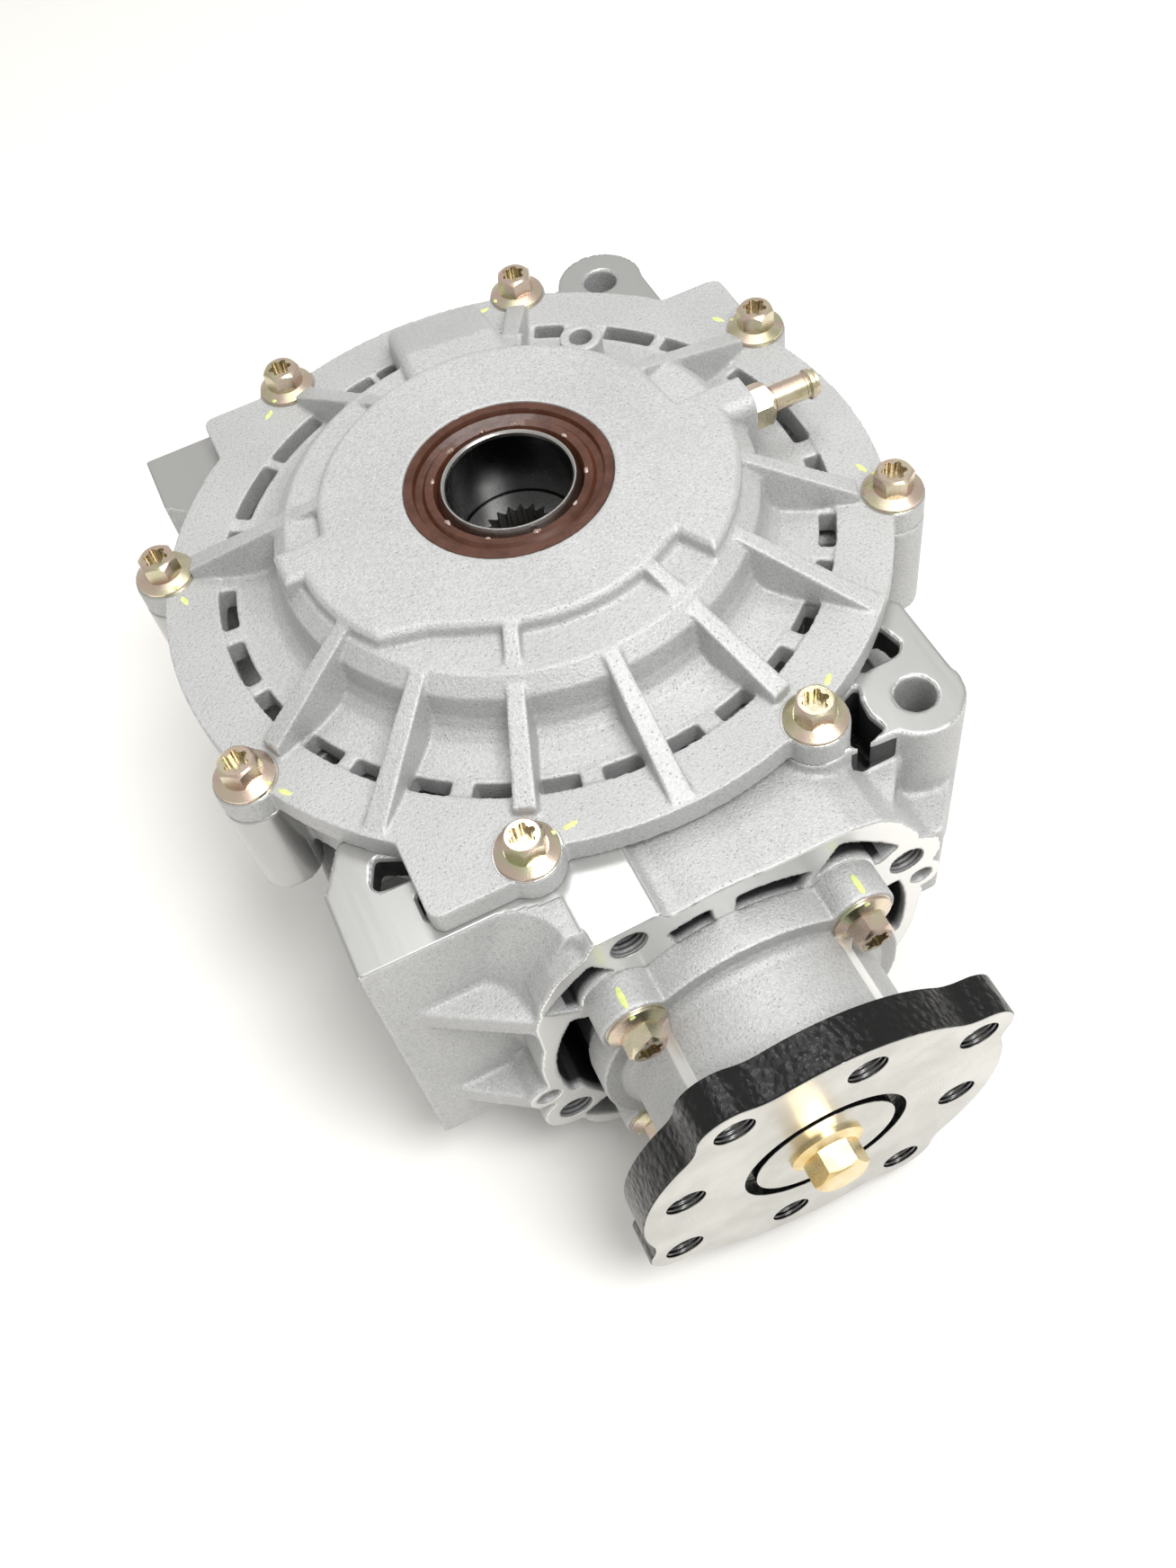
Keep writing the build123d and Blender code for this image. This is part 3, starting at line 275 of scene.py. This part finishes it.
shadedPockets = (((-0.0846, -0.0706), (-0.0908, -0.0786)), ((-0.0744, -0.0536), (-0.1054, -0.0956)),
                 ((0.0641, 0.0802), (-0.0914, -0.0756)), ((0.0493, 0.0628), (-0.1133, -0.0927)))


def paintedShadeHousing(cast):
    # painted shade, near-black: behind the front face's windows, and down the corner pockets
    window = below(cast.fromInput(), 0.0608)
    hidden = window * above(cast.y, -0.1300, 0.0012) * below(cast.y, -0.060)
    for x, y in shadedPockets:
        hidden = inside(cast, x, y, (None, -0.0112)) + hidden
    return hidden.maths("MINIMUM", 1.0)


def tappedAndShadedHousing(cast):
    return below(cast.nearest(cast.x, cast.z - inputAxis, *frontThreads), 0.0056) * below(cast.y, -0.1)


def milledCover(cast):
    seats = below(cast.nearest(cast.x, cast.y, *coverScrews), 0.0096)
    seats = seats * above(cast.z, -0.0005) * below(cast.z, 0.0007)
    bore = below(cast.distance(cast.x, cast.y), 0.0313)
    return (seats + bore).maths("MINIMUM", 1.0)


def milledCartridge(cast):
    seats = below(cast.nearest(cast.x, cast.z - inputAxis, *cartridgeScrews), 0.0094)
    return seats * below(cast.y, seatFace * mm + 0.00015)


def zincFinish(name, stops, recess=None):
    # zinc with its chromate colours, which drift from olive to rose, and gold down the recess
    zinc = Finish(name, Metallic=1.0)
    tone = zinc.ramp(zinc.noise(75, 2, 0.5), *stops)
    fine = zinc.noise(2200, 2, 0.5)
    if recess:
        tone = zinc.mix(recess(zinc) * 0.7, tone, (0.50, 0.44, 0.30))
    return zinc.feed(Base_Color=tone, Roughness=0.21 + fine * 0.14,
                     Normal=zinc.bump(fine + zinc.noise(420, 2, 0.5) * 1.5, 0.22, 0.0001))


def coverRecess(zinc):
    return below(zinc.nearest(zinc.x, zinc.y, *coverScrews), 0.0040) * below(zinc.z, 0.0084)


def cartridgeRecess(zinc):
    near = zinc.nearest(zinc.x, zinc.z - inputAxis, *cartridgeScrews)
    return below(near, 0.0040) * above(zinc.y, -0.1522)


def rubberFinish(name, colour, coat):
    rubber = Finish(name, Metallic=0.0, Specular_IOR_Level=0.4)
    film = rubber.noise(150, 4, 0.6)
    skin = rubber.mix(film.step(0.35, 0.7), colour, tuple(c * 1.5 for c in colour))
    return rubber.feed(Base_Color=skin, Roughness=0.14 + film * 0.26,
                       Coat_Weight=film.step(0.3, 0.6) * coat,
                       Normal=rubber.bump(rubber.noise(420, 3, 0.5), 0.3, 0.0002))


turnedRings = 5200


def steelFinish(name, colour, rough, axis=None, boreShade=None):
    # turned steel: fine rings about the outputs' axis, z, or the input's axis, y
    steel = Finish(name, Metallic=1.0)
    across = steel.distance(steel.x, steel.y) if axis == "z" else steel.fromInput()
    along = steel.z if axis == "z" else steel.y
    if axis:
        rings = ((across + along * 0.9) * turnedRings).maths("SINE")
    else:
        rings = steel.noise(900, 2, 0.5)
    cloud = steel.noise(70, 4, 0.6)
    tone = steel.mix(cloud.step(0.3, 0.7), tuple(c * 0.82 for c in colour), colour)
    if boreShade:
        # painted shade down the plain bore
        tone = steel.mix(boreShade(steel), tone, (0.026, 0.027, 0.030))
        # painted light: the splined end and its step face deep in the sleeve painted pale
        tone = steel.mix(below(across, 0.0184) * above(steel.z, -0.01), tone, (0.80, 0.79, 0.76))
    return steel.feed(Base_Color=tone, Roughness=rough + cloud * 0.14,
                      Normal=steel.bump(rings * 0.25 + cloud * 0.5, 0.12, 0.00008))


def paintedBoreShade(steel):
    # the sleeve's plain bore is painted near-black as painted shade down the bore; its rim is left out, and
    # the splined end is painted pale as painted light
    across = steel.distance(steel.x, steel.y)
    streak = steel.noise(60, 3, 0.5, stretch=(1, 1, 0.3))
    return below(across, 0.0195) * above(across, 0.0184) * below(steel.z, 0.0222) * (0.8 + streak * 0.3)


def flangeFinish():
    # turned front face, black pebbled paint on the rim and the rest
    flange = Finish("driveFlangeSteel", Specular_IOR_Level=0.28)
    radius = flange.fromInput()
    face = below(flange.y, driveFace * mm + 0.00015, 0.00006)
    outer = flange.nearest(flange.x, flange.z - inputAxis, *outerDriveHoles)
    inner = flange.nearest(flange.x, flange.z - inputAxis, *innerDriveHoles)
    hole = below(outer.maths("MINIMUM", inner), 0.00625) * (1 - face)
    rings = (radius * turnedRings).maths("SINE")
    broad = flange.noise(48, 4, 0.6)
    pebble = flange.cells(420).maths("POWER", 0.7) + flange.noise(800, 2, 0.5) * 0.4
    metal = flange.mix(broad.step(0.3, 0.7), (0.46, 0.455, 0.43), (0.60, 0.595, 0.57))
    skin = flange.mix(face, (0.004, 0.004, 0.004), metal)
    skin = flange.mix(hole, skin, (0.16, 0.16, 0.16))
    rough = 0.24 * (1 - face) + (0.24 + broad * 0.14) * face
    height = (1 - pebble) * (1 - face) * (1 - hole) * 2.2 + rings * face * 0.1
    height = height + threads(flange, 0.00125) * hole
    return flange.feed(Base_Color=skin, Metallic=(face + hole).maths("MINIMUM", 1.0),
                       Roughness=rough, Coat_Weight=(1 - face) * (1 - hole) * 0.12,
                       Normal=flange.bump(height, 0.5, 0.0004))


def ironFinish():
    iron = Finish("caseIron", Metallic=0.85)
    cloud, grain = iron.noise(60, 4, 0.6), iron.noise(1300, 2, 0.6)
    tone = iron.mix(cloud.step(0.3, 0.7), (0.10, 0.10, 0.10), (0.20, 0.195, 0.19))
    return iron.feed(Base_Color=tone, Roughness=0.42 + grain * 0.2,
                     Normal=iron.bump(grain + cloud, 0.4, 0.0003))


def paintMarkFinish():
    mark = Finish("markPaint", Metallic=0.0)
    streak = mark.noise(900, 3, 0.6)
    return mark.feed(Base_Color=mark.mix(streak.step(0.3, 0.7), (0.56, 0.64, 0.20), (0.70, 0.78, 0.34)),
                     Roughness=0.5 + streak * 0.2, Normal=mark.bump(streak, 0.4, 0.0002))


def greaseFinish():
    grease = Finish("clearGrease", Metallic=0.0)
    cloud = grease.noise(500, 3, 0.6)
    return grease.feed(Base_Color=grease.mix(cloud.step(0.3, 0.7), (0.14, 0.06, 0.035), (0.42, 0.33, 0.28)),
                       Roughness=0.06 + cloud * 0.1, Coat_Weight=cloud.step(0.1, 0.5))


print("finishes")
castHousing = castFinish("castAlloyHousing", milledHousing, paintedShadeHousing, tappedAndShadedHousing)
castCover = castFinish("castAlloyCover", milledCover)
castCartridge = castFinish("castAlloyCartridge", milledCartridge)
paleZinc = ((0.30, (0.50, 0.46, 0.29)), (0.44, (0.66, 0.60, 0.44)), (0.56, (0.66, 0.51, 0.43)),
            (0.70, (0.54, 0.55, 0.36)))
goldZinc = ((0.30, (0.58, 0.41, 0.17)), (0.44, (0.72, 0.57, 0.28)), (0.56, (0.78, 0.66, 0.42)),
            (0.70, (0.64, 0.48, 0.22)))
coverZinc = zincFinish("coverScrewZinc", paleZinc, coverRecess)
cartridgeZinc = zincFinish("cartridgeScrewZinc", paleZinc, cartridgeRecess)
fittingZinc = zincFinish("fittingZinc", paleZinc)
centreZinc = zincFinish("centreScrewZinc", goldZinc)
sealRubber = rubberFinish("sealRubber", (0.058, 0.018, 0.008), 0.3)
ringRubber = rubberFinish("ringRubber", (0.012, 0.012, 0.012), 0.2)
sleeveSteel = steelFinish("sleeveSteel", (0.50, 0.49, 0.47), 0.20, "z", boreShade=paintedBoreShade)
gearSteel = steelFinish("gearSteel", (0.42, 0.42, 0.41), 0.26)
shaftSteel = steelFinish("shaftSteel", (0.42, 0.42, 0.41), 0.26, "y")
bearingSteel = steelFinish("bearingSteel", (0.62, 0.62, 0.62), 0.14)
darkSteel = steelFinish("darkSteel", (0.07, 0.07, 0.075), 0.34)
flangeSteel = flangeFinish()
caseIron = ironFinish()
markPaint = paintMarkFinish()
clearGrease = greaseFinish()

nodeFinish = {
    "cover_ring": ringRubber, "cartridge_ring": ringRubber, "cover_dowel": gearSteel,
    "upper_output_seal": sealRubber, "lower_output_seal": sealRubber, "input_seal": sealRubber,
    "breather_fitting": fittingZinc, "fill_plug": fittingZinc, "drain_plug": fittingZinc,
    "flange_centre_bolt": centreZinc, "cover_bolt": coverZinc, "cartridge_bolt": cartridgeZinc,
    "cover": castCover, "housing": castHousing,
    "input_cartridge": castCartridge, "companion_flange": flangeSteel,
    "differential_case": caseIron, "ring_gear": gearSteel, "ring_gear_bolts": darkSteel,
    "cross_pin": bearingSteel, "cross_pin_lock": darkSteel, "side_washer": darkSteel,
    "spider_washer": darkSteel, "upper_side_gear": sleeveSteel, "lower_side_gear": sleeveSteel,
    "left_spider_gear": gearSteel, "right_spider_gear": gearSteel, "input_pinion": shaftSteel,
    "bearing_spacer": shaftSteel,
}
for name, node in frame["nodes"].items():
    family = name.rstrip("0123456789").rstrip("_")
    family = "_".join(family.split("_")[1:]) if family.endswith("washer") else family
    node.data.materials.clear()
    node.data.materials.append(nodeFinish.get(family, bearingSteel))


# mesh tools
def finished(bm, name, material, body, smooth=35):
    # the bmesh becomes a piece that rides on a body
    bmesh.ops.recalc_face_normals(bm, faces=bm.faces)
    mesh = bpy.data.meshes.new(name)
    bm.to_mesh(mesh)
    bm.free()
    piece = bpy.data.objects.new(name, mesh)
    scene.collection.objects.link(piece)
    mesh.materials.append(material)
    mesh.shade_smooth()
    if smooth:
        mesh.set_sharp_from_angle(angle=math.radians(smooth))
    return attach(piece, body)


def settled(piece):
    # the mesh with its modifiers applied
    bpy.context.view_layer.update()
    seen = piece.evaluated_get(bpy.context.evaluated_depsgraph_get())
    mesh = bpy.data.meshes.new_from_object(seen)
    piece.modifiers.clear()
    old, piece.data = piece.data, mesh
    bpy.data.meshes.remove(old)
    return piece


# castings
def swept(bm, points, first=0, last=360, middle=(0, 0)):
    # a closed outline of radius and height turned round an upright axis, between two angles
    whole = last - first == 360
    steps = max(4, round((last - first) / 10))
    rings = []
    for k in range(steps + (not whole)):
        turn = math.radians(first + (last - first) * k / steps)
        out = Vector((math.cos(turn), math.sin(turn), 0))
        rings.append([bm.verts.new((out * r + Vector((*middle, z))) * mm) for r, z in points])
    for k in range(steps):
        low, high = rings[k], rings[(k + 1) % len(rings)]
        for j in range(len(points)):
            j2 = (j + 1) % len(points)
            bm.faces.new((low[j], low[j2], high[j2], high[j]))
    if not whole:
        bm.faces.new(rings[0])
        bm.faces.new(rings[-1])
    bmesh.ops.recalc_face_normals(bm, faces=bm.faces)


gapOutline = [(57.6, 26), (57.6, 14.5), (66, 10.8), (72, 5.4), (76, 2.4), (80, 0.6), (80, 26)]
gapStart, gapEnd = 26, 64
solidBoss, shownBoss = (49.8, 63.6), (48.0, 57.9)
bossCutter = [(0.01, 26), (0.01, -0.3), (7.6, -0.3), (7.6, 26)]
bossOutline = [(0.01, -3), (6.9, -3), (6.9, 12), (3.7, 12), (3.7, 1.5), (0.01, 1.5)]


def ledgeGap(piece):
    # between the ribs at 22.5 and 67.5 degrees the ledge is missing, and the drilled boss stands there
    bm = bmesh.new()
    swept(bm, gapOutline, gapStart, gapEnd)
    swept(bm, bossCutter, middle=solidBoss)
    mesh = bpy.data.meshes.new("ledgeCutter")
    bm.to_mesh(mesh)
    bm.free()
    cutter = bpy.data.objects.new("ledgeCutter", mesh)
    scene.collection.objects.link(cutter)
    cut = piece.modifiers.new("cut", "BOOLEAN")
    cut.object, cut.operation, cut.solver, cut.use_self = cutter, "DIFFERENCE", "EXACT", True
    settled(piece)
    bpy.data.meshes.remove(mesh)
    bm = bmesh.new()
    bm.from_mesh(piece.data)
    swept(bm, bossOutline, middle=shownBoss)
    bm.to_mesh(piece.data)
    bm.free()


def casting(name, node, voxel, rounds, keep, material, planes, reshape=None):
    # the solid's own shape with a casting's soft corners; planes are axes and levels milled flat
    bm = bmesh.new()
    bm.from_mesh(frame["nodes"][node].data)
    bmesh.ops.remove_doubles(bm, verts=bm.verts, dist=0.000002)
    piece = finished(bm, name, material, frame["nodes"][node]["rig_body"], 0)
    if reshape:
        reshape(piece)
    skin = piece.modifiers.new("skin", "REMESH")
    skin.mode, skin.voxel_size, skin.use_smooth_shade = "VOXEL", voxel * mm, True
    soften = piece.modifiers.new("soften", "SMOOTH")
    soften.factor, soften.iterations = 0.5, rounds
    thin = piece.modifiers.new("thin", "DECIMATE")
    thin.ratio = keep
    settled(piece)
    for vertex in piece.data.vertices:
        for axis, level in planes:
            if abs(vertex.co[axis] - level * mm) < 0.45 * voxel * mm:
                vertex.co[axis] = level * mm
    piece.data.shade_smooth()
    flats = piece.modifiers.new("flats", "WEIGHTED_NORMAL")
    flats.weight = 80
    settled(piece)
    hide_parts(node)
    print("casting", name, len(piece.data.polygons))


castings = {
    "coverCasting": dict(node="cover", voxel=0.55, rounds=4, keep=0.22, material=castCover,
                         planes=(), reshape=ledgeGap),
    "housingCasting": dict(node="housing", voxel=0.85, rounds=2, keep=0.16, material=castHousing,
                           planes=((1, frontFace), (2, jointFace), (0, sidePad), (2, lowerFace))),
    "cartridgeCasting": dict(node="input_cartridge", voxel=0.70, rounds=3, keep=0.25,
                             material=castCartridge, planes=((1, frontFace), (1, seatFace))),
}
for name, settings in castings.items():
    casting(name, **settings)


# paint dashes and grease; the angles say on which side of each screw a dash lies
coverMarks = (128, -174, -136, -79, -50, 8, 46, 103)
cartridgeMarks = (84, 97, 210, -40)
beads = ((20, 0.8), (62, 1.0), (88, 0.7), (118, 1.1), (150, 0.8), (196, 0.9), (232, 0.6), (268, 0.9),
         (305, 0.7), (338, 0.8))


def spots(radius, count, first):
    turns = [math.radians(first + 360 / count * k) for k in range(count)]
    return [(radius * math.cos(turn), radius * math.sin(turn)) for turn in turns]


def dab(bm, place, along, out, size, detail=3):
    # a small flat drop: size is half its length, width and thickness
    along, out = Vector(along).normalized(), Vector(out).normalized()
    across = out.cross(along)
    stretch = Matrix((along * size[0], across * size[1], out * size[2])).transposed()
    turn = Matrix.Translation(Vector(place)) @ stretch.to_4x4()
    made = bmesh.ops.create_icosphere(bm, subdivisions=detail, radius=mm, matrix=turn)["verts"]
    for vertex in made:
        swell = math.sin(vertex.co.x * 3100 + vertex.co.z * 900) * math.cos(vertex.co.y * 2700)
        vertex.co += across * swell * 0.18 * mm


def paintMarks():
    # each screw has a dash beside it and a speck on its own flange
    bm = bmesh.new()
    for (x, y), angle in zip(spots(*coverScrews), coverMarks):
        turn = math.radians(angle)
        out = Vector((math.cos(turn), math.sin(turn), 0))
        screw = Vector((x, y, 0))
        dab(bm, screw + out * 0.0135, out, (0, 0, 1), (2.3, 0.85, 0.22))
        dab(bm, screw + out * 0.0079 + Vector((0, 0, 0.0014)), out, (0, 0, 1), (1.2, 0.9, 0.3), 2)
    for (x, up), angle in zip(spots(*cartridgeScrews), cartridgeMarks):
        turn = math.radians(angle)
        out = Vector((math.cos(turn), 0, math.sin(turn)))
        lobe, screw = Vector((x, -0.1395, inputAxis + up)), Vector((x, -0.1452, inputAxis + up))
        dab(bm, lobe + out * 0.0106, (0, 1, 0), out, (3.6, 1.0, 0.25))
        dab(bm, screw + out * 0.0080, out, (0, -1, 0), (1.1, 0.9, 0.3), 2)
    return finished(bm, "paintMarks", markPaint, frame["nodes"]["cover"]["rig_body"])


def greaseBeads():
    # beads of grease where the seal's lip meets the sleeve
    bm = bmesh.new()
    for angle, size in beads:
        turn = math.radians(angle)
        out = Vector((math.cos(turn), math.sin(turn), 0))
        side = Vector((-out.y, out.x, 0))
        place = out * 0.0228 + Vector((0, 0, 0.0232))
        dab(bm, place, side, (0, 0, 1), (size * 1.5, size * 0.8, size * 0.6), 2)
    return finished(bm, "greaseBeads", clearGrease, frame["nodes"]["cover"]["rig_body"])


paintMarks()
greaseBeads()


# stage
def areaLight(name, place, target, size, power):
    light = bpy.data.lights.new(name, "AREA")
    light.shape, light.size, light.energy = "DISK", size, power
    lamp = bpy.data.objects.new(name, light)
    scene.collection.objects.link(lamp)
    lamp.location = place
    aim = Vector(target) - Vector(place)
    lamp.rotation_euler = aim.to_track_quat("-Z", "Y").to_euler()


def studio():
    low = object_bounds()[0][2]
    bm = bmesh.new()
    bmesh.ops.create_grid(bm, x_segments=2, y_segments=2, size=4.0)
    bmesh.ops.translate(bm, verts=bm.verts, vec=(0, 0, low))
    mesh = bpy.data.meshes.new("floor")
    bm.to_mesh(mesh)
    bm.free()
    floor = bpy.data.objects.new("floor", mesh)
    scene.collection.objects.link(floor)
    paper = Finish("paper", Roughness=0.9)
    paper.feed(Base_Color=paper.mix(paper.noise(30, 3, 0.5), (0.94, 0.925, 0.895), (0.96, 0.945, 0.915)))
    mesh.materials.append(paper.material)
    world = bpy.data.worlds.new("room")
    scene.world = world
    world.use_nodes = True
    world.node_tree.nodes["Background"].inputs[0].default_value = (1, 0.99, 0.97, 1)
    world.node_tree.nodes["Background"].inputs[1].default_value = 0.66
    areaLight("keyLight", (0.13, 0.36, 0.90), (0, -0.03, -0.03), 0.34, 1.6)
    areaLight("frontLight", (0.22, -0.52, 0.92), (0, -0.10, -0.04), 0.5, 8.5)
    areaLight("topLight", (0.15, 0.0, 1.5), (0, -0.05, -0.03), 1.3, 5)


def camera():
    # solved from the photograph: 33.3 mm lens on a 36 mm frame
    lens = bpy.data.cameras.new("camera")
    lens.lens, lens.sensor_width, lens.sensor_fit = 33.29, 36, "AUTO"
    lens.clip_start, lens.clip_end = 0.01, 30
    eye = bpy.data.objects.new("camera", lens)
    scene.collection.objects.link(eye)
    turn = Matrix(((0.90115, 0.41276, -0.13251), (-0.41537, 0.73464, -0.53644),
                   (-0.12408, 0.53845, 0.83347)))
    eye.matrix_world = Matrix.Translation((-0.0716, -0.3009, 0.3243)) @ turn.to_4x4()
    scene.camera = eye
    scene.view_settings.view_transform = "Standard"


print("stage")
studio()
camera()
